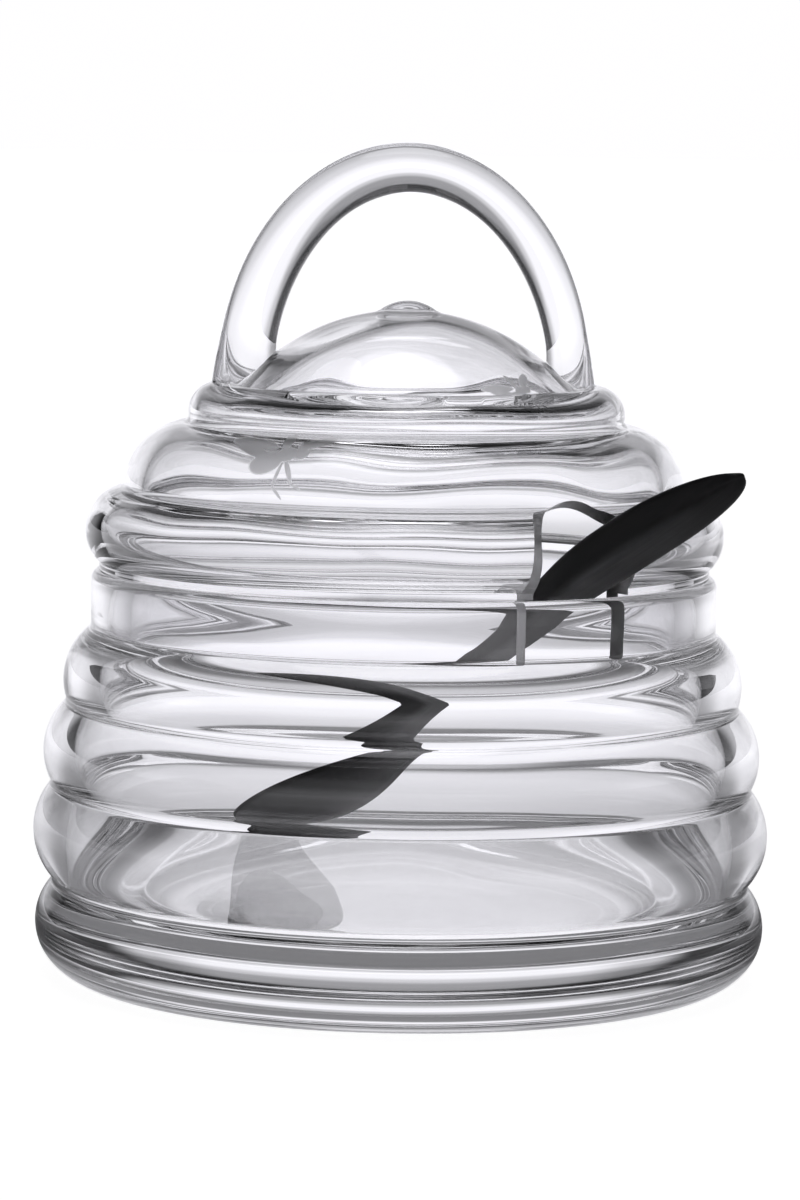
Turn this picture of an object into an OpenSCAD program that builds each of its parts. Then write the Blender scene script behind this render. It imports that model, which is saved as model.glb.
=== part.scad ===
// Beehive honey pot of clear blown glass: a ringed pot, a ringed lid with a drawn
// glass handle and a spoon notch, and a dark carved spoon that leans in the notch.
// Frame: +Z up, origin at the middle of the foot, handle arch in the XZ plane,
// front towards -Y. All lengths are in millimetres.

/* [Pot] */
// Widest diameter of the roll that the pot stands on
base_roll_d = 122; // [112:0.2:130]
// Height of that roll's middle above the table
base_roll_rise = 8.6; // [7.8:0.1:9]
// Section radius of that roll
base_roll_section = 9.1; // [9:0.1:10.6]
// Widest diameter of the roll above it
lower_roll_d = 122.8; // [114:0.2:132]
// Height of the lower roll's middle above the base roll's
lower_roll_rise = 15.4; // [14:0.1:16.8]
// Section radius of the lower roll
lower_roll_section = 11.3; // [9.5:0.1:13]
// Widest diameter of the middle roll
middle_roll_d = 119.6; // [112:0.2:128]
// Height of the middle roll's middle above the lower roll's
middle_roll_rise = 13.2; // [11.5:0.1:15]
// Section radius of the middle roll
middle_roll_section = 10.6; // [9:0.1:12.5]
// Widest diameter of the upper roll
upper_roll_d = 113.2; // [109:0.2:118]
// Height of the upper roll's middle above the middle roll's
upper_roll_rise = 11.8; // [10.5:0.1:13.5]
// Section radius of the upper roll
upper_roll_section = 10.8; // [9:0.1:12.5]
// Outer diameter of the straight collar
collar_d = 104.2; // [100:0.2:108]
// Height of the rim above the upper roll's middle
rim_rise = 18.4; // [16.5:0.1:21]
// Wall of the collar
collar_wall = 3.4; // [2.6:0.1:4.2]
// Wall at the crest of the lower and middle rolls
roll_wall = 5.7; // [4.7:0.1:6.5]
// Section radius of the inside of the middle and upper rolls
hollow_section = 7.2; // [6.6:0.1:8]
// How far the inside of the rolls lies below their outside
hollow_drop = 0.5; // [0.2:0.1:1]
// How far the inside swells out below the collar
hollow_swell = 1.2; // [0.8:0.1:2.4]
// Radius on the ridges between the rolls on the inside
ridge_r = 3.3; // [2.4:0.1:4.4]
// Radius where the inside runs up into the collar
mouth_ease_r = 11.6; // [9:0.2:14]
// Thickness of the floor
floor_thickness = 14; // [11:0.5:15.5]
// Radius in the grooves between rolls
groove_r = 1.2; // [0.6:0.1:2]

/* [Lid] */
// Widest diameter of the roll that sits on the rim
lid_roll_d = 106.2; // [102:0.2:110]
// Height of that roll's middle above its seat
lid_roll_rise = 6.4; // [5.8:0.1:7]
// Section radius of that roll
lid_roll_section = 7.4; // [7.1:0.1:8.4]
// Width of the ground seat's outer edge
seat_d = 101.6; // [100.4:0.2:103]
// Widest diameter of the shoulder roll
shoulder_roll_d = 94; // [91:0.2:98]
// Height of the shoulder roll's middle above the lid roll's
shoulder_roll_rise = 7; // [6:0.1:8]
// Section radius of the shoulder roll
shoulder_roll_section = 11.3; // [10.2:0.1:12.5]
// Widest diameter of the cap roll
cap_roll_d = 73; // [70:0.2:76]
// Height of the cap roll's middle above the shoulder roll's
cap_roll_rise = 12.8; // [11.8:0.1:13.8]
// Section radius of the cap roll
cap_roll_section = 5; // [4.5:0.1:5.6]
// Radius of the low crown
crown_r = 36.6; // [34:0.1:40]
// Height of the crown's top above the cap roll's middle
crown_rise = 17.4; // [16.4:0.1:18.4]
// Radius of the small tip that is drawn up in the middle of the crown
tip_r = 8; // [6:0.1:10]
// Height of the tip above the crown
tip_rise = 1.5; // [0.8:0.1:2.4]
// Radius in the hollow around the tip
tip_groove_r = 4; // [2:0.1:6]
// Wall of the blown lid
lid_wall = 3.3; // [2.6:0.1:3.8]
// Radius in the grooves of the lid
lid_groove_r = 0.8; // [0.5:0.1:1.2]
// Wall of the flange that drops into the collar
flange_wall = 3; // [2.4:0.1:3.6]
// Depth of that flange below the seat
flange_depth = 12.6; // [10:0.2:13.4]
// Gap around the flange in the collar
flange_gap = 0.5; // [0.35:0.05:0.8]
// Gap between the lid's seat and the rim
seat_gap = 0.2; // [0.15:0.05:0.3]

/* [Notch] */
// Direction of the notch and the spoon, from +X
notch_azimuth = -56; // [-90:1:-40]
// Width of the notch
notch_w = 18.5; // [16:0.5:21]
// Height of the notch's crown above the seat, at the outside of the lid
notch_rise = 14; // [11.4:0.2:15]
// How far the notch's crown is ground upwards to the outside, along the spoon
notch_tilt = 28; // [15:1:32]

/* [Handle] */
// Distance between the middles of the handle's two legs
handle_span = 54; // [50:0.5:58]
// Height of the springing line above the cap roll's middle
handle_spring = 4.2; // [3:0.1:8]
// Height of the arch above the springing line, to the middle of the rod
handle_rise = 36.3; // [32:0.1:40]
// Diameter of the rod in the left leg, where its drawing starts
handle_left_d = 9.6; // [8:0.1:10.4]
// Diameter of the rod in the right leg, where it has been drawn thin
handle_right_d = 7; // [6:0.1:8]
// How much wider a leg is where it meets the lid
handle_flare = 2; // [1:0.1:3]
// Height over which each leg flares into its foot
handle_flare_h = 9; // [6:0.5:12]

/* [Spoon] */
// Length of the spoon
spoon_length = 156; // [148:1:166]
// Length from the bowl's tip to its widest place
bowl_front = 22; // [18:0.5:26]
// Length from the widest place to the neck
bowl_taper = 42; // [36:0.5:48]
// Width of the bowl
bowl_w = 24; // [20:0.5:26]
// Depth of the bowl
bowl_depth = 5.5; // [4:0.1:6.5]
// Thickness of the bowl's shell
bowl_wall = 2.2; // [1.8:0.1:2.8]
// Length of the neck between the bowl and the blade
neck_length = 21; // [16:1:26]
// Width of the neck
neck_w = 6; // [5:0.1:7]
// Thickness of the neck
neck_t = 3.6; // [3:0.1:4.2]
// Length over which the neck widens into the blade
blade_swell = 40; // [32:1:46]
// Width of the handle's blade
blade_w = 10.4; // [9:0.2:12]
// Thickness of the handle's blade
blade_t = 5.4; // [4.8:0.1:6]
// Length over which the blade rounds off to its end
blade_end = 26; // [20:0.5:30]
// How far the blade bows down at its end
blade_bow = 3.4; // [1:0.2:5]
// Length over which it bows
bow_length = 44; // [36:1:52]
// Clearance of the bowl's tip when it passes the mouth
mouth_gap = 1.6; // [1.2:0.1:3]
// Clearance of the spoon from the glass that it rests on
rest_gap = 0.3; // [0.25:0.05:0.5]

/* [Hidden] */
$fn = 96;
glass_colour = [0.86, 0.89, 0.91, 0.4];
spoon_colour = [0.07, 0.065, 0.07];

// A roll is [crest radius, height of its middle, section radius, radius of the groove below it].
base_z = base_roll_rise;
lower_z = base_z + lower_roll_rise;
middle_z = lower_z + middle_roll_rise;
upper_z = middle_z + upper_roll_rise;
rim_z = upper_z + rim_rise;
collar_r = collar_d / 2;
bore_r = collar_r - collar_wall;
rim_r = collar_r - collar_wall / 2;
rim_round = collar_wall / 2;
pot_rolls = [
    [base_roll_d / 2, base_z, base_roll_section, groove_r],
    [lower_roll_d / 2, lower_z, lower_roll_section, groove_r],
    [middle_roll_d / 2, middle_z, middle_roll_section, groove_r],
    [upper_roll_d / 2, upper_z, upper_roll_section, groove_r],
];
// The blown inside follows the outside softly and a little lower.
cavity_rolls = [
    [lower_roll_d / 2 - roll_wall, lower_z - hollow_drop, lower_z - floor_thickness, ridge_r],
    [middle_roll_d / 2 - roll_wall, middle_z - hollow_drop, hollow_section, ridge_r],
    [bore_r + hollow_swell, upper_z - hollow_drop, hollow_section, ridge_r],
];

seat_z = rim_z + seat_gap;
seat_r = seat_d / 2;
seat_edge_h = 1.1;
lid_roll_z = seat_z + lid_roll_rise;
shoulder_z = lid_roll_z + shoulder_roll_rise;
cap_z = shoulder_z + cap_roll_rise;
crown_z = cap_z + crown_rise - crown_r;
flange_r = bore_r - flange_gap;
flange_in_r = flange_r - flange_wall;
lid_rolls = [
    [lid_roll_d / 2, lid_roll_z, lid_roll_section, lid_groove_r],
    [shoulder_roll_d / 2, shoulder_z, shoulder_roll_section, lid_groove_r],
    [cap_roll_d / 2, cap_z, cap_roll_section, lid_groove_r],
    [crown_r, crown_z, crown_r, lid_groove_r],
    [tip_r, crown_z + crown_r + tip_rise - tip_r, tip_r, tip_groove_r],
];
lid_hollow_rolls = [for (i = [0 : 3])
    let (roll = lid_rolls[i])
    [roll[0] - lid_wall, roll[1], roll[2] - lid_wall, roll[3] + lid_wall]
];

leg_r = handle_span / 2;
spring_z = cap_z + handle_spring;

// Where two circles meet, on the side away from the axis when the second is above.
function meet(c1, r1, c2, r2) =
    let (d = norm(c2 - c1),
         along = (r1^2 - r2^2 + d^2) / (2 * d),
         across = sqrt(r1^2 - along^2),
         dir = (c2 - c1) / d)
    c1 + along * dir + across * [dir[1], -dir[0]];
function centre(roll) = [roll[0] - roll[2], roll[1]];
// A length beyond every section
well_past = 2 * lower_roll_d;

// The concave radius in the groove between two rolls, larger where the rolls stand apart.
// Its circle bites a little past tangent, so that the arcs cross cleanly.
groove_bite = 0.05;
groove_reach = 0.5;
module groove(low, high) {
    apart = norm(centre(high) - centre(low)) - low[2] - high[2];
    radius = max(high[3], apart / 2 + groove_reach);
    middle = meet(centre(low), low[2] + radius, centre(high), high[2] + radius);
    difference() {
        polygon([centre(low), middle, centre(high)]);
        translate(middle) circle(radius + groove_bite);
    }
}

// The concave radius between a roll and the upright wall above it.
module wall_groove(roll, wall_r, radius) {
    out = wall_r + radius - centre(roll)[0];
    middle = [wall_r + radius, roll[1] + sqrt((roll[2] + radius)^2 - out^2)];
    difference() {
        polygon([centre(roll), middle, [wall_r, middle[1]]]);
        translate(middle) circle(radius + groove_bite);
    }
}

// Half section of stacked rolls, from the axis out, down to the height low_z.
module roll_stack(rolls, low_z) {
    first = centre(rolls[0]);
    last = centre(rolls[len(rolls) - 1]);
    intersection() {
        union() {
            for (roll = rolls) translate(centre(roll)) circle(roll[2]);
            for (i = [1 : len(rolls) - 1]) groove(rolls[i - 1], rolls[i]);
            polygon(concat([[0, low_z], [first[0], low_z]], [for (roll = rolls) centre(roll)], [[0, last[1]]]));
        }
        translate([0, low_z]) square(well_past);
    }
}

module pot() {
    top_roll = pot_rolls[len(pot_rolls) - 1];
    top_hollow = cavity_rolls[len(cavity_rolls) - 1];
    color(glass_colour) rotate_extrude() difference() {
        union() {
            roll_stack(pot_rolls, 0);
            wall_groove(top_roll, collar_r, groove_r);
            translate([0, upper_z]) square([collar_r, rim_z - rim_round - upper_z]);
            translate([rim_r, rim_z - rim_round]) circle(rim_round);
        }
        roll_stack(cavity_rolls, floor_thickness);
        wall_groove(top_hollow, bore_r, mouth_ease_r);
        translate([0, top_hollow[1]]) square([bore_r, rim_z - top_hollow[1] + 1]);
    }
}

// Half section of the lid's outside, solid, without its flange.
module lid_outline() {
    roll_stack(lid_rolls, seat_z);
    translate([0, seat_z]) square([seat_r, seat_edge_h]);
}

module lid() {
    color(glass_colour) difference() {
        rotate_extrude() difference() {
            union() {
                lid_outline();
                translate([flange_in_r, seat_z - flange_depth + flange_wall / 2])
                    square([flange_wall, flange_depth]);
                translate([flange_in_r + flange_wall / 2, seat_z - flange_depth + flange_wall / 2])
                    circle(flange_wall / 2);
            }
            roll_stack(lid_hollow_rolls, lid_roll_z);
            translate([0, seat_z - flange_depth]) square([flange_in_r, lid_roll_z - seat_z + flange_depth]);
            translate(centre(lid_hollow_rolls[0])) circle(lid_hollow_rolls[0][2]);
        }
        notch_cutter();
    }
}

// The ground slot for the spoon: upright sides and a sloping round crown, through flange and roll.
module notch_cutter() {
    crown_z = seat_z + notch_rise - notch_w / 2;
    outside_r = shoulder_roll_d / 2;
    below_h = flange_depth + notch_rise;
    rotate([0, 0, notch_azimuth]) translate([outside_r, 0, crown_z]) rotate([0, -notch_tilt, 0])
        rotate([90, 0, 90]) translate([0, 0, -outside_r / 2]) linear_extrude(outside_r) {
            translate([-notch_w / 2, -2 * below_h]) square([notch_w, 2 * below_h]);
            circle(notch_w / 2);
        }
}

// The handle's rod follows half an ellipse on two upright legs. It was drawn from left to
// right, so it gets thinner on the way, and it flares at both feet.
handle_steps = 36;
handle_sides = 20;
leg_steps = 2;
function rod_r(z, t) =
    let (flare = ease((spring_z + handle_flare_h - z) / (handle_flare_h + handle_spring)))
    (handle_right_d + (handle_left_d - handle_right_d) * t / 180 + handle_flare * flare) / 2;
function rod_ring(x, z, t, a) =
    [for (j = [0 : handle_sides - 1])
        let (b = 360 * j / handle_sides, r = rod_r(z, t))
        [x + r * cos(b) * cos(a), r * sin(b), z + r * cos(b) * sin(a)]];
// Direction across the rod, square to the ellipse at its angle t.
function arch_tilt(t) = atan2(leg_r * sin(t), handle_rise * cos(t));

module lid_handle() {
    arch = [for (i = [0 : handle_steps])
        let (t = 180 * i / handle_steps)
        rod_ring(leg_r * cos(t), spring_z + handle_rise * sin(t), t, arch_tilt(t))];
    right_leg = [for (i = [0 : leg_steps - 1]) rod_ring(leg_r, cap_z + handle_spring * i / leg_steps, 0, 0)];
    left_leg = [for (i = [leg_steps - 1 : -1 : 0]) rod_ring(-leg_r, cap_z + handle_spring * i / leg_steps, 180, 180)];
    color(glass_colour) difference() {
        swept(concat(right_leg, arch, left_leg));
        rotate_extrude() lid_outline();
    }
}

// A closed skin over a row of rings that have the same number of points.
module swept(rings) {
    sides = len(rings[0]);
    last = (len(rings) - 1) * sides;
    skin = [
        for (i = [0 : len(rings) - 2], j = [0 : sides - 1])
            let (k = (j + 1) % sides, a = i * sides)
            each [[a + j, a + k, a + sides + k], [a + j, a + sides + k, a + sides + j]]
    ];
    ends = [[for (j = [sides - 1 : -1 : 0]) j], [for (j = [0 : sides - 1]) last + j]];
    polyhedron([for (ring = rings) each ring], concat(skin, ends));
}

// The spoon lies along X from the bowl's tip, its bowl hollow towards +Z.
neck_from = bowl_front + bowl_taper;
blade_from = neck_from + neck_length;
bow_from = spoon_length - bow_length;
bow_power = 1.5;
function ease(t) = let (c = min(max(t, 0), 1)) c * c * (3 - 2 * c);
function front_share(u) = sqrt(max(0, 1 - ((bowl_front - u) / bowl_front)^2));
function taper_share(u) = ease((neck_from - u) / bowl_taper);
function blade_share(u) = ease((u - blade_from) / blade_swell);
function end_share(u) = sqrt(max(0, 1 - (max(0, u - spoon_length + blade_end) / blade_end)^2));
function stem_half(u) = (neck_w + (blade_w - neck_w) * blade_share(u)) / 2 * end_share(u);
function half_width(u) =
    u < bowl_front ? bowl_w / 2 * front_share(u) : stem_half(u) + (bowl_w / 2 - stem_half(u)) * taper_share(u);
function thickness(u) =
    let (stem = (neck_t + (blade_t - neck_t) * blade_share(u)) * end_share(u))
    stem + (bowl_wall - stem) * taper_share(u);
function dish(u) = bowl_depth * (u < bowl_front ? front_share(u)^2 : taper_share(u));
function bow(u) = blade_bow * max(0, (u - bow_from) / bow_length)^bow_power;

// The lean: the blade rests on the rim and the bowl settles on the floor.
tip_s = -(bore_r - mouth_gap);
lean_low = 10;
lean_high = 50;
lean_tries = 24;
function tip_z(lean) =
    let (rim_u = (rim_r - tip_s) / cos(lean))
    rim_z - rim_round + (rim_round + rest_gap + thickness(rim_u) / 2) / cos(lean) + (tip_s - rim_r) * tan(lean);
function bowl_low(lean) =
    tip_z(lean) + min([for (u = [0 : 1 : neck_from]) u * sin(lean) - (dish(u) + thickness(u) / 2) * cos(lean)]);
function settle(low, high, tries) =
    let (mid = (low + high) / 2)
    tries == 0 ? mid : bowl_low(mid) > floor_thickness + rest_gap ? settle(mid, high, tries - 1) : settle(low, mid, tries - 1);
spoon_lean = settle(lean_low, lean_high, lean_tries);

// The bowl's section is a thin lens, and the stem's is a bar with rounded edges.
spoon_stations = 48;
spoon_sides = 20;
bar_power = 0.55;
function station(i) = spoon_length * (1 - cos(180 * i / spoon_stations)) / 2;
function rounded(v, power) = sign(v) * abs(v)^power;
function section(u) =
    let (power = 1 - (1 - bar_power) * (1 - taper_share(u)) * (u < bowl_front ? 0 : 1))
    [for (j = [0 : spoon_sides - 1])
        let (a = 360 * j / spoon_sides, s = sin(a))
        [u, half_width(u) * rounded(cos(a), power), rounded(s, bar_power) * thickness(u) / 2 - dish(u) * s^2 - bow(u)]];

module spoon() {
    color(spoon_colour) rotate([0, 0, notch_azimuth]) translate([tip_s, 0, tip_z(spoon_lean)])
        rotate([0, -spoon_lean, 0]) swept([for (i = [1 : spoon_stations - 1]) section(station(i))]);
}

pot();
lid();
lid_handle();
spoon();
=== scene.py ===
import math
import bpy
import bmesh
from mathutils import Matrix, Vector, noise


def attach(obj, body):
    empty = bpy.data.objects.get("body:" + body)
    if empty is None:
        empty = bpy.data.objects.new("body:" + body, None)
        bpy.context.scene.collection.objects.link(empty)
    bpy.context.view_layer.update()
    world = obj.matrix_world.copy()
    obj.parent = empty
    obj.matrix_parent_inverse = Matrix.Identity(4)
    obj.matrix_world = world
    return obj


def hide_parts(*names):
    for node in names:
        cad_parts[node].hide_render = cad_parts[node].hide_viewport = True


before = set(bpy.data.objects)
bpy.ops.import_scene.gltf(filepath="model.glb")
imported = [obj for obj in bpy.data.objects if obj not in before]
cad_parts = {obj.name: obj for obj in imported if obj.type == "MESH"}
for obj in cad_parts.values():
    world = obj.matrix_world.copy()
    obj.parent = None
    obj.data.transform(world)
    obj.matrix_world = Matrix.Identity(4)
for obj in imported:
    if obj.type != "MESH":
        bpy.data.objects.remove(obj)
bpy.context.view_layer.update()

mm = 0.001
scene = bpy.context.scene

# degrees for each step of a drawn arc
rollStep, grooveStep, rimStep = 2.4, 5.0, 9.0
# edges that turn more than this, in degrees, stay sharp
glassSharp, cutSharp, spoonSharp = 40, 35, 60
# points closer than this, in metres, become one
drawnWeld, cutWeld = 1e-7, 2e-6


def ease(t):
    c = min(max(t, 0), 1)
    return c * c * (3 - 2 * c)


# section pen: profiles are drawn in the XZ plane, x is the radius, millimetres in

def startAt(bm, r, z):
    return bm.verts.new((r * mm, 0, z * mm))


def lineTo(bm, vert, r, z, cuts=1):
    begin = vert.co.copy()
    end = Vector((r * mm, 0, z * mm))
    for k in range(1, cuts + 1):
        vert = bmesh.ops.extrude_vert_indiv(bm, verts=[vert])["verts"][0]
        vert.co = begin.lerp(end, k / cuts)
    return vert


def newVerts(geom):
    return [g for g in geom if isinstance(g, bmesh.types.BMVert)]


def arcTo(bm, vert, middle, r, z, way, step=rollStep):
    # way 1 runs anticlockwise in the section, -1 clockwise
    first = math.atan2(vert.co.z / mm - middle[1], vert.co.x / mm - middle[0])
    last = math.atan2(z - middle[1], r - middle[0])
    sweep = (last - first) * way % (2 * math.pi) * way
    steps = max(2, math.ceil(abs(math.degrees(sweep)) / step))
    made = bmesh.ops.spin(bm, geom=[vert], cent=(middle[0] * mm, 0, middle[1] * mm),
                          axis=(0, 1, 0), angle=-sweep, steps=steps)
    return newVerts(made["geom_last"])[0]


def middleOf(roll):
    return Vector((roll[0] - roll[2], roll[1]))


def meetPoint(a, ra, b, rb):
    gap = (b - a).length
    along = (ra ** 2 - rb ** 2 + gap ** 2) / (2 * gap)
    across = math.sqrt(max(0, ra ** 2 - along ** 2))
    way = (b - a) / gap
    return a + way * along + Vector((way.y, -way.x)) * across


def climbRolls(bm, vert, rolls, leastSpare=0.5):
    # up the outside of a stack of rolls, with the soft groove between each two
    for low, high in zip(rolls, rolls[1:]):
        a, b = middleOf(low), middleOf(high)
        apart = (b - a).length - low[2] - high[2]
        groove = max(high[3], apart / 2 + leastSpare)
        hub = meetPoint(a, low[2] + groove, b, high[2] + groove)
        leave = a + (hub - a) * low[2] / (low[2] + groove)
        reach = b + (hub - b) * high[2] / (high[2] + groove)
        vert = arcTo(bm, vert, a, leave.x, leave.y, 1)
        vert = arcTo(bm, vert, hub, reach.x, reach.y, -1, grooveStep)
    return vert


def wallGroove(bm, vert, roll, wallR, groove):
    # from the top roll over its groove onto an upright wall
    a = middleOf(roll)
    out = wallR + groove - a.x
    hub = Vector((wallR + groove, a.y + math.sqrt((roll[2] + groove) ** 2 - out ** 2)))
    leave = a + (hub - a) * roll[2] / (roll[2] + groove)
    vert = arcTo(bm, vert, a, leave.x, leave.y, 1)
    return arcTo(bm, vert, hub, wallR, hub.y, -1, grooveStep)


def underside(roll, r):
    # height at which a roll's lower half crosses a radius
    return roll[1] - math.sqrt(roll[2] ** 2 - (r - middleOf(roll).x) ** 2)


def turnRound(bm, steps):
    bmesh.ops.remove_doubles(bm, verts=bm.verts[:], dist=drawnWeld)
    bmesh.ops.spin(bm, geom=bm.verts[:] + bm.edges[:], cent=(0, 0, 0), axis=(0, 0, 1),
                   angle=2 * math.pi, steps=steps, use_merge=True)
    bmesh.ops.remove_doubles(bm, verts=bm.verts[:], dist=drawnWeld)
    bmesh.ops.recalc_face_normals(bm, faces=bm.faces[:])


def facesIn(v):
    # true on the hollow side of a wall: towards the axis, or level and towards the rim
    inward = -(v.normal.x * v.co.x + v.normal.y * v.co.y)
    if abs(inward) > 1e-6:
        return inward > 0
    return (v.normal.z > 0) == (v.co.z < pot["rimZ"] * mm)


def blownWaves(bm, amount, size, seed):
    # hand-blown glass is never quite true: a slow dip on every wall
    bm.normal_update()
    moves = []
    for v in bm.verts:
        r = math.hypot(v.co.x, v.co.y)
        dip = noise.noise(v.co / (size * mm) + Vector((seed, 0, 0))) - 1
        moves.append((v, v.normal * dip * amount(r / mm, v.co.z / mm, facesIn(v)) * mm))
    for v, move in moves:
        v.co += move


def softEdges(bm, limit):
    for f in bm.faces:
        f.smooth = True
    for e in bm.edges:
        e.smooth = not (len(e.link_faces) == 2 and e.calc_face_angle(0) > math.radians(limit))


def bridgeRings(bm, rings):
    # a skin over a row of rings, closed at both ends
    loops = [list({e for v in ring for e in v.link_edges}) for ring in rings]
    for a, b in zip(loops, loops[1:]):
        bmesh.ops.bridge_loops(bm, edges=a + b)
    bmesh.ops.holes_fill(bm, edges=bm.edges[:], sides=0)
    bmesh.ops.recalc_face_normals(bm, faces=bm.faces[:])


def makePiece(name, bm, *materials):
    mesh = bpy.data.meshes.new(name)
    bm.to_mesh(mesh)
    bm.free()
    for m in materials:
        mesh.materials.append(m)
    piece = bpy.data.objects.new(name, mesh)
    scene.collection.objects.link(piece)
    return piece


def cutAway(piece, cutter):
    # takes the cutter out of the piece for good, and keeps the cutter's material index on the cut
    cut = piece.modifiers.new("cut", "BOOLEAN")
    cut.operation = "DIFFERENCE"
    cut.solver = "EXACT"
    cut.object = cutter
    bpy.context.view_layer.update()
    shaped = bpy.data.meshes.new_from_object(piece.evaluated_get(bpy.context.evaluated_depsgraph_get()))
    old = piece.data
    piece.modifiers.clear()
    piece.data = shaped
    shaped.name = piece.name
    bpy.data.meshes.remove(old)
    bpy.data.objects.remove(cutter)
    bm = bmesh.new()
    bm.from_mesh(shaped)
    bmesh.ops.remove_doubles(bm, verts=bm.verts[:], dist=cutWeld)
    bmesh.ops.dissolve_degenerate(bm, dist=cutWeld, edges=bm.edges[:])
    softEdges(bm, cutSharp)
    bm.to_mesh(shaped)
    bm.free()


# shader nodes: each input takes another node's output or a plain value

def addNode(tree, kind, ins=None, **settings):
    node = tree.nodes.new("ShaderNode" + kind)
    for name, value in settings.items():
        setattr(node, name, value)
    feed(tree, node, ins or {})
    return node


def feed(tree, node, ins):
    for name, value in ins.items():
        if isinstance(value, bpy.types.NodeSocket):
            tree.links.new(value, node.inputs[name])
        else:
            node.inputs[name].default_value = value


def mathOf(tree, operation, *values):
    return addNode(tree, "Math", dict(enumerate(values)), operation=operation).outputs[0]


def mixOf(tree, share, first, second):
    return addNode(tree, "Mix", {0: share, 6: first, 7: second}, data_type="RGBA").outputs[2]


def mostOf(tree, values):
    most = values[0]
    for value in values[1:]:
        most = mathOf(tree, "MAXIMUM", most, value)
    return most


def rangeOf(tree, value, low, high, lowTo=0.0, highTo=1.0):
    return addNode(tree, "MapRange", {"Value": value, "From Min": low, "From Max": high,
                                      "To Min": lowTo, "To Max": highTo}).outputs["Result"]


def bumpOf(tree, height, depth):
    return addNode(tree, "Bump", {"Distance": depth * mm, "Strength": 1.0, "Height": height}).outputs["Normal"]


def objectPlace(tree):
    return addNode(tree, "TexCoord").outputs["Object"]


def newGroup(name, ins, outs):
    group = bpy.data.node_groups.new(name, "ShaderNodeTree")
    for label, kind, value in ins:
        group.interface.new_socket(label, in_out="INPUT", socket_type=kind).default_value = value
    for label, kind in outs:
        group.interface.new_socket(label, in_out="OUTPUT", socket_type=kind)
    return group, group.nodes.new("NodeGroupInput").outputs, group.nodes.new("NodeGroupOutput")


def newMaterial(name):
    mat = bpy.data.materials.new(name)
    mat.use_nodes = True
    return mat, mat.node_tree, mat.node_tree.nodes["Principled BSDF"]


# glass

glass = {
    "ior": 1.5, "pale": (0.994, 0.993, 0.998, 1), "deep": (0.982, 0.98, 0.99, 1),
    # draw lines lie flat round the axis and are much weaker than the swells
    "lineStretch": (0.06, 0.06, 1.0), "lineWeight": 0.03,
    "smearScale": 45.0, "smearFrom": 0.55, "smearTo": 0.8, "marks": 0.003,
}
ground = {"ior": 1.45, "grainScale": 2600.0, "dark": (0.8832, 0.8832, 0.8928, 1), "pale": (0.96, 0.96, 0.96, 1),
          "smooth": 0.3, "rough": 0.5, "depth": 0.02}


def waveGroup(p):
    # slow swells and fine draw lines of blown glass, as a height, and a thin film of handling marks
    group, ins, out = newGroup(
        "blownWaves",
        [("Swell Scale", "NodeSocketFloat", 60.0), ("Line Scale", "NodeSocketFloat", 500.0),
         ("Marks", "NodeSocketFloat", 0.02)],
        [("Height", "NodeSocketFloat"), ("Film", "NodeSocketFloat"), ("Tint", "NodeSocketColor")])
    place = objectPlace(group)
    swell = addNode(group, "TexNoise", {"Detail": 1.0, "Vector": place, "Scale": ins["Swell Scale"]})
    flat = addNode(group, "Mapping", {"Scale": p["lineStretch"], "Vector": place})
    lines = addNode(group, "TexNoise", {"Detail": 1.0, "Vector": flat.outputs["Vector"], "Scale": ins["Line Scale"]})
    smear = addNode(group, "TexNoise", {"Scale": p["smearScale"], "Detail": 3.0, "Vector": place}).outputs["Fac"]
    feed(group, out, {
        "Height": mathOf(group, "MULTIPLY_ADD", lines.outputs["Fac"], p["lineWeight"], swell.outputs["Fac"]),
        "Film": rangeOf(group, smear, p["smearFrom"], p["smearTo"], 0.0, ins["Marks"]),
        "Tint": mixOf(group, smear, p["pale"], p["deep"])})
    return group


def clearGlass(name, swell, lines, depth):
    mat, tree, shader = newMaterial(name)
    use = addNode(tree, "Group", node_tree=waves)
    feed(tree, use, {"Swell Scale": swell, "Line Scale": lines, "Marks": glass["marks"]})
    feed(tree, shader, {"Transmission Weight": 1.0, "IOR": glass["ior"], "Base Color": use.outputs["Tint"],
                        "Roughness": use.outputs["Film"], "Normal": bumpOf(tree, use.outputs["Height"], depth)})
    return mat


def frostedGlass(name, p):
    # ground glass: grey-white, matt, a fine grain
    mat, tree, shader = newMaterial(name)
    grain = addNode(tree, "TexNoise", {"Scale": p["grainScale"], "Detail": 4.0,
                                       "Vector": objectPlace(tree)}).outputs["Fac"]
    feed(tree, shader, {"Transmission Weight": 1.0, "IOR": p["ior"],
                        "Base Color": mixOf(tree, grain, p["dark"], p["pale"]),
                        "Roughness": rangeOf(tree, grain, 0.0, 1.0, p["smooth"], p["rough"]),
                        "Normal": bumpOf(tree, grain, p["depth"])})
    return mat


waves = waveGroup(glass)
potGlass = clearGlass("potGlass", 40.0, 420.0, 0.012)
lidGlass = clearGlass("lidGlass", 48.0, 460.0, 0.012)
handleGlass = clearGlass("handleGlass", 70.0, 300.0, 0.008)
groundGlass = frostedGlass("groundGlass", ground)
print("materials of the glass made")


# pot

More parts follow.
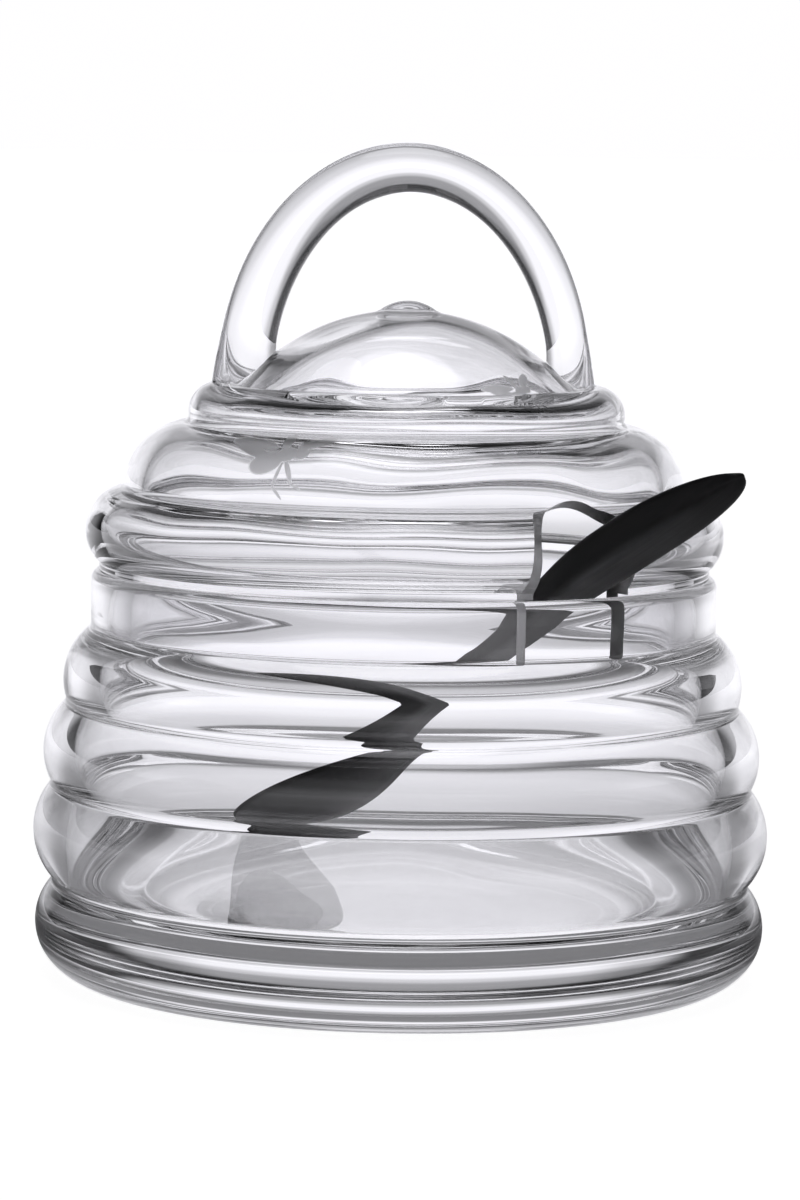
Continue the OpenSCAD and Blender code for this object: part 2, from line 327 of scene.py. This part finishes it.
pot = {
    # crest radius, height of the middle, section radius, groove below
    "rolls": [(61.0, 8.6, 9.1, 1.2), (61.4, 24.0, 11.3, 1.2), (59.8, 37.2, 10.6, 1.2), (56.6, 49.0, 10.8, 1.2)],
    "hollow": [(55.7, 23.5, 10.0, 3.3), (54.1, 36.7, 7.2, 3.3), (49.9, 48.5, 7.2, 3.3)],
    "collarR": 52.1, "collarGroove": 1.2, "boreR": 48.7, "mouthEase": 11.6, "rimZ": 67.4, "rimRound": 1.7,
    "floorZ": 14.0, "steps": 168,
    # waves: between the foot and the collar, more inside than outside
    "waveFromZ": 0.5, "waveToZ": 62, "waveIn": 0.16, "waveOut": 0.04, "waveSize": 24, "waveSeed": 3.1,
}


def potWave(r, z, inside):
    if z < pot["waveFromZ"] or z > pot["waveToZ"]:
        return 0.0
    return pot["waveIn"] if inside else pot["waveOut"]


def buildPot(p):
    bm = bmesh.new()
    base, first = p["rolls"][0], p["hollow"][0]
    footR = middleOf(base).x + math.sqrt(base[2] ** 2 - base[1] ** 2)
    floorR = middleOf(first).x + math.sqrt(first[2] ** 2 - (first[1] - p["floorZ"]) ** 2)
    rimMid = (p["collarR"] - p["rimRound"], p["rimZ"] - p["rimRound"])
    vert = startAt(bm, 0, 0)
    vert = lineTo(bm, vert, footR, 0, 8)
    vert = climbRolls(bm, vert, p["rolls"])
    vert = wallGroove(bm, vert, p["rolls"][-1], p["collarR"], p["collarGroove"])
    vert = lineTo(bm, vert, p["collarR"], rimMid[1], 4)
    arcTo(bm, vert, rimMid, p["boreR"], rimMid[1], 1, rimStep)
    vert = startAt(bm, 0, p["floorZ"])
    vert = lineTo(bm, vert, floorR, p["floorZ"], 10)
    vert = climbRolls(bm, vert, p["hollow"])
    vert = wallGroove(bm, vert, p["hollow"][-1], p["boreR"], p["mouthEase"])
    lineTo(bm, vert, p["boreR"], rimMid[1], 4)
    turnRound(bm, p["steps"])
    blownWaves(bm, potWave, p["waveSize"], p["waveSeed"])
    softEdges(bm, glassSharp)
    return makePiece("pot_glass_body", bm, potGlass)


potPiece = buildPot(pot)
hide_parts("pot")
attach(potPiece, "pot")
print("pot blown:", len(potPiece.data.polygons), "faces")


# lid

lid = {
    "rolls": [(53.1, 74.0, 7.4, 0.8), (47.0, 81.0, 11.3, 0.8), (36.5, 93.8, 5.0, 0.8),
              (36.6, 74.6, 36.6, 0.8), (8.0, 104.7, 8.0, 4.0)],
    "wall": 3.3, "seatZ": 67.6, "seatR": 50.8, "steps": 168,
    "flangeR": 48.2, "flangeInR": 45.2, "flangeDepth": 12.6, "flangeRound": 1.5,
    "notchAzimuth": -56.0, "notchW": 18.5, "notchRise": 14.0, "notchTilt": 28.0, "notchSteps": 40,
    # waves: none on the ground seat and flange, most on the inside, more towards the crown
    "waveFromZ": 70.5, "waveToR": 49.9, "waveIn": 0.42, "waveInRise": 6, "waveOut": 0.1,
    "waveUp": [(84, 8, 0.06), (95, 7, 0.14)], "waveSize": 16, "waveSeed": 11.7,
}


def lidWave(r, z, inside):
    if z < lid["waveFromZ"] or r > lid["waveToR"]:
        return 0.0
    if inside:
        return lid["waveIn"] * ease((z - lid["waveFromZ"]) / lid["waveInRise"])
    return lid["waveOut"] + sum(more * ease((z - low) / rise) for low, rise, more in lid["waveUp"])


def lidSkin(bm, p, sink):
    # the lid's outside from the seat's edge to the tip, sunk by a little if asked
    rolls = [(r - sink, z, s - sink, g + sink) for r, z, s, g in p["rolls"]]
    edgeR = p["seatR"] - sink
    vert = startAt(bm, edgeR, underside(rolls[0], edgeR))
    vert = climbRolls(bm, vert, rolls)
    return arcTo(bm, vert, middleOf(rolls[-1]), 0, rolls[-1][1] + rolls[-1][2], 1)


def buildLid(p):
    bm = bmesh.new()
    lidSkin(bm, p, 0.0)
    hollow = [(r - p["wall"], z, s - p["wall"], g + p["wall"]) for r, z, s, g in p["rolls"][:4]]
    bend = (p["flangeR"] - p["flangeRound"], p["seatZ"] - p["flangeDepth"] + p["flangeRound"])
    vert = startAt(bm, p["seatR"], underside(p["rolls"][0], p["seatR"]))
    vert = lineTo(bm, vert, p["seatR"], p["seatZ"], 2)
    vert = lineTo(bm, vert, p["flangeR"], p["seatZ"], 2)
    vert = lineTo(bm, vert, p["flangeR"], bend[1], 4)
    vert = arcTo(bm, vert, bend, p["flangeInR"], bend[1], -1, rimStep)
    vert = lineTo(bm, vert, p["flangeInR"], underside(hollow[0], p["flangeInR"]), 5)
    vert = climbRolls(bm, vert, hollow)
    arcTo(bm, vert, middleOf(hollow[-1]), 0, hollow[-1][1] + hollow[-1][2], 1)
    turnRound(bm, p["steps"])
    blownWaves(bm, lidWave, p["waveSize"], p["waveSeed"])
    softEdges(bm, glassSharp)
    return makePiece("lid_glass_body", bm, lidGlass, groundGlass)


def notchTool(p):
    # the ground slot: upright sides and a round crown, drawn on end and pushed out
    # through the wall, rising along the spoon
    bm = bmesh.new()
    half, outside = p["notchW"] / 2, p["rolls"][1][0]
    arch = bm.verts.new((0, -half * mm, 0))
    made = bmesh.ops.spin(bm, geom=[arch], cent=(0, 0, 0), axis=(1, 0, 0), angle=-math.pi, steps=p["notchSteps"])
    feet = []
    for v, side in ((arch, -half), (newVerts(made["geom_last"])[0], half)):
        foot = bmesh.ops.extrude_vert_indiv(bm, verts=[v])["verts"][0]
        foot.co = Vector((0, side, -2 * (p["flangeDepth"] + p["notchRise"]))) * mm
        feet.append(foot)
    bm.edges.new(feet)
    face = bmesh.ops.contextual_create(bm, geom=bm.edges[:])["faces"]
    pushed = bmesh.ops.extrude_face_region(bm, geom=face)
    bmesh.ops.translate(bm, vec=(outside * mm, 0, 0), verts=newVerts(pushed["geom"]))
    bmesh.ops.translate(bm, vec=(-outside / 2 * mm, 0, 0), verts=bm.verts[:])
    place = (Matrix.Rotation(math.radians(p["notchAzimuth"]), 4, "Z")
             @ Matrix.Translation(Vector((outside, 0, p["seatZ"] + p["notchRise"] - half)) * mm)
             @ Matrix.Rotation(-math.radians(p["notchTilt"]), 4, "Y"))
    bmesh.ops.transform(bm, matrix=place, verts=bm.verts[:])
    bmesh.ops.recalc_face_normals(bm, faces=bm.faces[:])
    for f in bm.faces:
        f.material_index = 1
    return makePiece("notchTool", bm, lidGlass, groundGlass)


bees = {
    # one bee as ellipses on the surface: across, up, half length, half width, turn in degrees
    "figure": [(-1.8, -1.4, 2.9, 2.1, 18), (1.3, 0.5, 1.9, 1.6, 10), (3.7, 0.9, 1.4, 1.3, 0),
               (-5.6, 3.0, 4.9, 1.3, -14), (-4.6, 0.9, 4.2, 1.0, -24), (0.2, 4.0, 2.6, 0.9, 100),
               (5.2, 3.9, 3.2, 1.3, 38), (0.9, -3.4, 2.3, 0.3, 80), (2.7, -2.8, 2.1, 0.45, -62),
               (1.4, -6.2, 1.3, 0.22, -40), (4.2, -5.0, 1.3, 0.22, -20), (5.9, 3.0, 2.2, 0.2, 30),
               (6.3, 1.5, 2.3, 0.2, 8)],
    # where each sits on the lid, its size and how far it is turned
    "places": [((-20.2, -38.5, 89.2), 1.0, 0.0), ((18.4, -21.0, 98.9), 0.62, 8.0)],
    "reach": 13.0, "matt": 0.5, "tone": (0.72, 0.72, 0.72, 1), "edge": 0.1,
}


def beeGroup(p):
    group, ins, out = newGroup("beeFigure", [("Place", "NodeSocketVector", (0, 0, 0))], [("Mask", "NodeSocketFloat")])
    masks = []
    for across, up, length, width, turn in p["figure"]:
        fit = addNode(group, "Mapping", vector_type="TEXTURE")
        feed(group, fit, {"Location": (across, up, 0), "Rotation": (0, 0, math.radians(turn)),
                          "Scale": (length, width, 1000), "Vector": ins["Place"]})
        away = addNode(group, "VectorMath", {0: fit.outputs["Vector"]}, operation="LENGTH").outputs["Value"]
        masks.append(rangeOf(group, away, 1 + p["edge"], 1 - p["edge"]))
    feed(group, out, {"Mask": mostOf(group, masks)})
    return group


def etchBees(piece, p):
    # the figures are matt patches in the outer skin, so each touches only the faces round its place
    mat = clearGlass("etchedGlass", 48.0, 460.0, 0.012)
    tree = mat.node_tree
    shader = tree.nodes["Principled BSDF"]
    figure, place = beeGroup(p), objectPlace(tree)
    masks = []
    for at, size, turn in p["places"]:
        spot, out = piece.closest_point_on_mesh(Vector(at) * mm)[1:3]
        up = (Vector((0, 0, 1)) - out * out.z).normalized()
        facing = Matrix((up.cross(out), up, out)).transposed() @ Matrix.Rotation(math.radians(turn), 3, "Z")
        for face in piece.data.polygons:
            near = (face.center - spot).length < p["reach"] * size * mm
            if near and face.material_index == 0 and face.normal.dot(out) > 0.1:
                face.material_index = 2
        fit = addNode(tree, "Mapping", vector_type="TEXTURE")
        feed(tree, fit, {"Location": spot, "Rotation": facing.to_euler(), "Scale": (size * mm, size * mm, size * mm),
                         "Vector": place})
        bee = addNode(tree, "Group", node_tree=figure)
        feed(tree, bee, {"Place": fit.outputs["Vector"]})
        masks.append(bee.outputs["Mask"])
    mask = mostOf(tree, masks)
    film, tint = [shader.inputs[name].links[0].from_socket for name in ("Roughness", "Base Color")]
    feed(tree, shader, {"Roughness": mathOf(tree, "MULTIPLY_ADD", mask, p["matt"], film),
                        "Base Color": mixOf(tree, mask, tint, p["tone"])})
    piece.data.materials.append(mat)


lidPiece = buildLid(lid)
cutAway(lidPiece, notchTool(lid))
etchBees(lidPiece, bees)
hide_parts("lid")
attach(lidPiece, "lid")
print("lid blown and notched:", len(lidPiece.data.polygons), "faces")


# drawn handle

handle = {
    "span": 54.0, "springZ": 98.0, "rise": 36.3, "leftD": 9.6, "rightD": 7.0, "flare": 2.0, "flareH": 9.0,
    "legFromZ": 93.8, "archSteps": 72, "sides": 40, "sink": 0.3, "coreDepth": 8, "coreSteps": 120,
    "wave": 0.05, "waveSize": 14, "waveSeed": 5.3,
}


def rodRing(bm, p, x, z, share, tilt):
    flare = ease((p["springZ"] + p["flareH"] - z) / (p["flareH"] + p["springZ"] - p["legFromZ"]))
    radius = (p["rightD"] + (p["leftD"] - p["rightD"]) * share + p["flare"] * flare) / 2
    # the ring stands square to the rod: its own X across the arch, its own Y along the frame's Y
    place = Matrix.Translation(Vector((x, 0, z)) * mm) @ Matrix.Rotation(-tilt, 4, "Y")
    return bmesh.ops.create_circle(bm, segments=p["sides"], radius=radius * mm, matrix=place)["verts"]


def buildHandle(p):
    bm = bmesh.new()
    half, kneeZ = p["span"] / 2, (p["legFromZ"] + p["springZ"]) / 2
    rings = [rodRing(bm, p, half, z, 0, 0) for z in (p["legFromZ"], kneeZ)]
    for k in range(p["archSteps"] + 1):
        t = math.pi * k / p["archSteps"]
        tilt = math.atan2(half * math.sin(t), p["rise"] * math.cos(t))
        x, z = half * math.cos(t), p["springZ"] + p["rise"] * math.sin(t)
        rings.append(rodRing(bm, p, x, z, k / p["archSteps"], tilt))
    rings += [rodRing(bm, p, -half, z, 1, math.pi) for z in (kneeZ, p["legFromZ"])]
    bridgeRings(bm, rings)
    blownWaves(bm, lambda r, z, inside: p["wave"], p["waveSize"], p["waveSeed"])
    return makePiece("handle_glass_rod", bm, handleGlass)


def lidCore(p, h):
    # a plain solid just under the lid's skin, to trim the handle's feet to the lid
    bm = bmesh.new()
    lidSkin(bm, p, h["sink"])
    edgeR, lowZ = p["seatR"] - h["sink"], p["rolls"][0][1] - h["coreDepth"]
    first = min(bm.verts, key=lambda v: (abs(v.co.x - edgeR * mm), v.co.z))
    vert = startAt(bm, 0, lowZ)
    vert = lineTo(bm, vert, first.co.x / mm, lowZ, 1)
    lineTo(bm, vert, first.co.x / mm, first.co.z / mm, 1)
    turnRound(bm, h["coreSteps"])
    return makePiece("lidCore", bm, handleGlass)


handlePiece = buildHandle(handle)
cutAway(handlePiece, lidCore(lid, handle))
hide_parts("lid_handle")
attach(handlePiece, "lid")
print("handle drawn:", len(handlePiece.data.polygons), "faces")


# spoon

spoon = {
    "length": 155.8, "bowlFront": 22.0, "bowlTaper": 42.0, "bowlW": 24.0, "bowlDepth": 5.5, "bowlWall": 2.2,
    "neckLength": 21.0, "neckW": 6.0, "neckT": 3.6, "bladeSwell": 40.0, "bladeW": 12.4, "bladeT": 6.0,
    "bladeEnd": 26.0, "bladeBow": 3.4, "bowLength": 44.0, "bowPower": 1.5, "barPower": 0.42,
    "tipS": -47.1, "azimuth": -56.0, "rest": 0.3, "leastLean": 10.0, "mostLean": 50.0, "stations": 90, "sides": 48,
}
wood = {
    "dark": (0.003, 0.0029, 0.0033, 1), "pale": (0.012, 0.011, 0.012, 1), "darkTo": 0.35, "paleFrom": 0.75,
    "stretch": (60.0, 900.0, 900.0), "smooth": 0.38, "rough": 0.62, "shine": 0.25, "depth": 0.05,
}


def frontShare(p, u):
    return math.sqrt(max(0, 1 - ((p["bowlFront"] - u) / p["bowlFront"]) ** 2))


def taperShare(p, u):
    return ease((p["bowlFront"] + p["bowlTaper"] - u) / p["bowlTaper"])


def stemSize(p, u, neck, blade):
    swell = ease((u - p["bowlFront"] - p["bowlTaper"] - p["neckLength"]) / p["bladeSwell"])
    over = max(0, u - p["length"] + p["bladeEnd"]) / p["bladeEnd"]
    return (neck + (blade - neck) * swell) * math.sqrt(max(0, 1 - over ** 2))


def halfWidth(p, u):
    if u < p["bowlFront"]:
        return p["bowlW"] / 2 * frontShare(p, u)
    stem = stemSize(p, u, p["neckW"], p["bladeW"]) / 2
    return stem + (p["bowlW"] / 2 - stem) * taperShare(p, u)


def thickness(p, u):
    stem = stemSize(p, u, p["neckT"], p["bladeT"])
    return stem + (p["bowlWall"] - stem) * taperShare(p, u)


def dishOf(p, u):
    return p["bowlDepth"] * (frontShare(p, u) ** 2 if u < p["bowlFront"] else taperShare(p, u))


def bowOf(p, u):
    begin = p["length"] - p["bowLength"]
    return p["bladeBow"] * max(0, (u - begin) / p["bowLength"]) ** p["bowPower"]


def spoonLean(p):
    # the blade lies on the rim and the bowl on the floor, each a little clear as in the solids
    rimR, rimMidZ = pot["collarR"] - pot["rimRound"], pot["rimZ"] - pot["rimRound"]
    low, high = p["leastLean"], p["mostLean"]
    for k in range(24):
        lean = math.radians((low + high) / 2)
        u = (rimR - p["tipS"]) / math.cos(lean)
        above = (pot["rimRound"] + p["rest"] + thickness(p, u) / 2) / math.cos(lean)
        tipZ = rimMidZ + above + (p["tipS"] - rimR) * math.tan(lean)
        under = tipZ + min(s * math.sin(lean) - (dishOf(p, s) + thickness(p, s) / 2) * math.cos(lean)
                           for s in range(int(p["bowlFront"] + p["bowlTaper"]) + 1))
        middle = (low + high) / 2
        low, high = (middle, high) if under > pot["floorZ"] + p["rest"] else (low, middle)
    return lean, tipZ


def spoonRing(bm, p, u):
    place = Matrix.Translation((u * mm, 0, 0)) @ Matrix.Rotation(math.pi / 2, 4, "Y")
    ring = bmesh.ops.create_circle(bm, segments=p["sides"], radius=mm, matrix=place)["verts"]
    half, thick, dish, bow = halfWidth(p, u), thickness(p, u), dishOf(p, u), bowOf(p, u)
    # a thin lens in the bowl, a bar with rounded edges in the stem
    power = 1 if u < p["bowlFront"] else 1 - (1 - p["barPower"]) * (1 - taperShare(p, u))
    for v in ring:
        c, s = v.co.y / mm, v.co.z / mm
        v.co.y = math.copysign(half * abs(c) ** power, c) * mm
        v.co.z = (math.copysign(thick / 2 * abs(s) ** p["barPower"], s) - dish * s * s - bow) * mm
    return ring


def buildSpoon(p):
    bm = bmesh.new()
    along = [p["length"] * (1 - math.cos(math.pi * i / p["stations"])) / 2 for i in range(1, p["stations"])]
    bridgeRings(bm, [spoonRing(bm, p, u) for u in along])
    lean, tipZ = spoonLean(p)
    place = (Matrix.Rotation(math.radians(p["azimuth"]), 4, "Z")
             @ Matrix.Translation((p["tipS"] * mm, 0, tipZ * mm)) @ Matrix.Rotation(-lean, 4, "Y"))
    bmesh.ops.transform(bm, matrix=place, verts=bm.verts[:])
    softEdges(bm, spoonSharp)
    return makePiece("spoon_carved", bm, darkWood(wood, place)), lean


def darkWood(p, place):
    # nearly black close wood, rubbed smooth, with grain along the spoon
    mat, tree, shader = newMaterial("darkWood")
    turn = addNode(tree, "Mapping", vector_type="TEXTURE")
    feed(tree, turn, {"Location": place.to_translation(), "Rotation": place.to_euler(), "Vector": objectPlace(tree)})
    drawn = addNode(tree, "Mapping", {"Scale": p["stretch"], "Vector": turn.outputs["Vector"]})
    grain = addNode(tree, "TexNoise", {"Scale": 1.0, "Detail": 5.0, "Distortion": 0.4,
                                       "Vector": drawn.outputs["Vector"]}).outputs["Fac"]
    ramp = addNode(tree, "ValToRGB", {"Fac": grain})
    ends = [(p["darkTo"], p["dark"]), (p["paleFrom"], p["pale"])]
    for stop, (at, colour) in zip(ramp.color_ramp.elements, ends):
        stop.position = at
        stop.color = colour
    feed(tree, shader, {"Specular IOR Level": p["shine"], "Base Color": ramp.outputs["Color"],
                        "Roughness": rangeOf(tree, grain, 0.0, 1.0, p["smooth"], p["rough"]),
                        "Normal": bumpOf(tree, grain, p["depth"])})
    return mat


spoonPiece, lean = buildSpoon(spoon)
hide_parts("spoon")
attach(spoonPiece, "spoon")
print("spoon carved, lean %.2f degrees" % math.degrees(lean))


# light, floor and camera

studio = {
    "floorZ": -0.2, "floorSize": 40.0, "paper": (0.94, 0.94, 0.94, 1), "matt": 0.7, "shine": 0.15,
    "speckScale": 30.0, "speckDark": (0.28, 0.28, 0.28, 1), "speckPale": (0.30, 0.30, 0.30, 1),
    # glow of the floor against the distance from the pot in metres, a painted shadow dim close round the pot and
    # brighter further off, and of the patch under the pot, a painted patch of light
    "sweep": [(0.0, 0.1), (0.12, 0.12), (0.17, 0.5), (0.33, 0.66), (0.6, 0.9), (1.0, 1.0), (1.5, 1.0)],
    # painted light: a bright patch just under the pot's foot, as if light came through the glass, and none beyond it
    "under": [(0.0, 0.95), (0.055, 0.95), (0.064, 0.0), (1.5, 0.0)],
    # light against the turn from straight behind, 0, to straight in front, 1
    "turn": [(0.0, 1.0), (0.1, 1.0), (0.16, 0.6), (0.21, 0.04), (0.42, 0.03), (0.46, 0.8), (0.54, 0.8), (0.6, 0.3),
             (0.7, 0.4), (0.84, 0.65), (1.0, 0.65)],
    # painted light on the floor by the same turn: brightest behind the pot, dimmest at its sides
    "paintedFloorTurn": [(0.0, 1.0), (0.16, 0.95), (0.28, 0.35), (0.5, 0.2), (0.66, 0.4), (0.84, 0.65), (1.0, 0.65)],
    # light against the height above the horizon
    "rise": [(0.0, 1.0), (0.09, 1.0), (0.16, 0.65), (0.25, 0.35), (0.42, 0.32), (0.52, 0.05), (1.0, 0.02)],
    "softBox": [(0.93, 0.0), (0.95, 1.0)], "boxPower": 2.0,
    "cool": (1.0, 0.996, 1.04, 1), "none": (0, 0, 0, 1),
}
camera = {
    # millimetres and degrees, from the fit to the photograph's outline
    "away": 757.0, "height": 141.5, "pitch": 5.96, "roll": 0.9, "lens": 136.8, "sensor": 36.0, "shift": -0.0031,
}


def greyRamp(tree, share, stops, reach=1.0):
    ramp = addNode(tree, "ValToRGB", {"Fac": share})
    ramp.color_ramp.interpolation = "EASE"
    for k in range(len(stops) - 2):
        ramp.color_ramp.elements.new(0.5)
    for stop, (at, value) in zip(ramp.color_ramp.elements, stops):
        stop.position = at / reach
        stop.color = (value, value, value, 1)
    return ramp.outputs["Color"]


def turnRamp(tree, parts, stops):
    # how far a place or a direction lies round from straight behind the pot
    angle = mathOf(tree, "ARCTAN2", parts["X"], parts["Y"])
    share = mathOf(tree, "DIVIDE", mathOf(tree, "ABSOLUTE", angle), math.pi)
    return greyRamp(tree, share, stops)


def buildFloor(p):
    # a paper sweep: plain white to the camera; in what the glass gathers it glows, with painted shadow greyer close
    # to the pot, a painted patch of light under it, and painted light brightest behind it
    mat, tree, shader = newMaterial("paleFloor")
    place = objectPlace(tree)
    speck = addNode(tree, "TexNoise", {"Scale": p["speckScale"], "Vector": place}).outputs["Fac"]
    away = addNode(tree, "VectorMath", {0: place}, operation="LENGTH").outputs["Value"]
    reach = p["sweep"][-1][0]
    share = mathOf(tree, "DIVIDE", away, reach)
    paintedTurnLight = turnRamp(tree, addNode(tree, "SeparateXYZ", {"Vector": place}).outputs, p["paintedFloorTurn"])
    # painted shadow close round the pot, times the painted light by turn
    paintedLightAndShade = mathOf(tree, "MULTIPLY", greyRamp(tree, share, p["sweep"], reach), paintedTurnLight)
    # the painted patch of light under the pot wins over the rest
    most = mathOf(tree, "MAXIMUM", paintedLightAndShade, greyRamp(tree, share, p["under"], reach))
    # camera rays see the plain paper, all other rays the painted glow
    seen = addNode(tree, "LightPath").outputs["Is Camera Ray"]
    feed(tree, shader, {"Roughness": p["matt"], "Specular IOR Level": p["shine"], "Emission Strength": 1.0,
                        "Base Color": mixOf(tree, speck, p["speckDark"], p["speckPale"]),
                        "Emission Color": mixOf(tree, seen, mixOf(tree, most, p["none"], p["cool"]), p["paper"])})
    bm = bmesh.new()
    bmesh.ops.create_grid(bm, x_segments=4, y_segments=4, size=p["floorSize"] / 2,
                          matrix=Matrix.Translation((0, 0, p["floorZ"] * mm)))
    makePiece("paleFloor", bm, mat)


def buildLight(p):
    # a pale sweep behind, a soft strip at each side, a dimmer room in front and one soft box overhead
    world = bpy.data.worlds.new("softStudio")
    scene.world = world
    world.use_nodes = True
    tree = world.node_tree
    way = addNode(tree, "TexCoord").outputs["Generated"]
    parts = addNode(tree, "SeparateXYZ", {"Vector": way}).outputs
    wall = mathOf(tree, "MULTIPLY", turnRamp(tree, parts, p["turn"]), greyRamp(tree, parts["Z"], p["rise"]))
    both = mathOf(tree, "MULTIPLY_ADD", greyRamp(tree, parts["Z"], p["softBox"]), p["boxPower"], wall)
    seen = addNode(tree, "LightPath").outputs["Is Camera Ray"]
    strength = addNode(tree, "Mix", {0: seen, 2: both, 3: 1.0}).outputs[0]
    feed(tree, tree.nodes["Background"], {"Color": p["cool"], "Strength": strength})


def buildCamera(p):
    pitch, roll = math.radians(p["pitch"]), math.radians(p["roll"])
    side = Vector((1, 0, 0))
    up = Vector((0, math.sin(pitch), math.cos(pitch)))
    back = Vector((0, -math.cos(pitch), math.sin(pitch)))
    right = side * math.cos(roll) + up * math.sin(roll)
    top = up * math.cos(roll) - side * math.sin(roll)
    data = bpy.data.cameras.new("photoCamera")
    data.lens = p["lens"]
    data.sensor_width = p["sensor"]
    data.shift_x = p["shift"]
    data.clip_start = 0.01
    view = bpy.data.objects.new("photoCamera", data)
    scene.collection.objects.link(view)
    view.matrix_world = Matrix((right, top, back)).transposed().to_4x4()
    view.location = Vector((0, -p["away"], p["height"])) * mm
    scene.camera = view


buildFloor(studio)
buildLight(studio)
buildCamera(camera)
scene.view_settings.view_transform = "Standard"
# glass behind glass needs deep paths
scene.cycles.max_bounces = 32
scene.cycles.transmission_bounces = 32
scene.cycles.glossy_bounces = 16
scene.cycles.transparent_max_bounces = 16
scene.cycles.use_denoising = True
print("studio set")
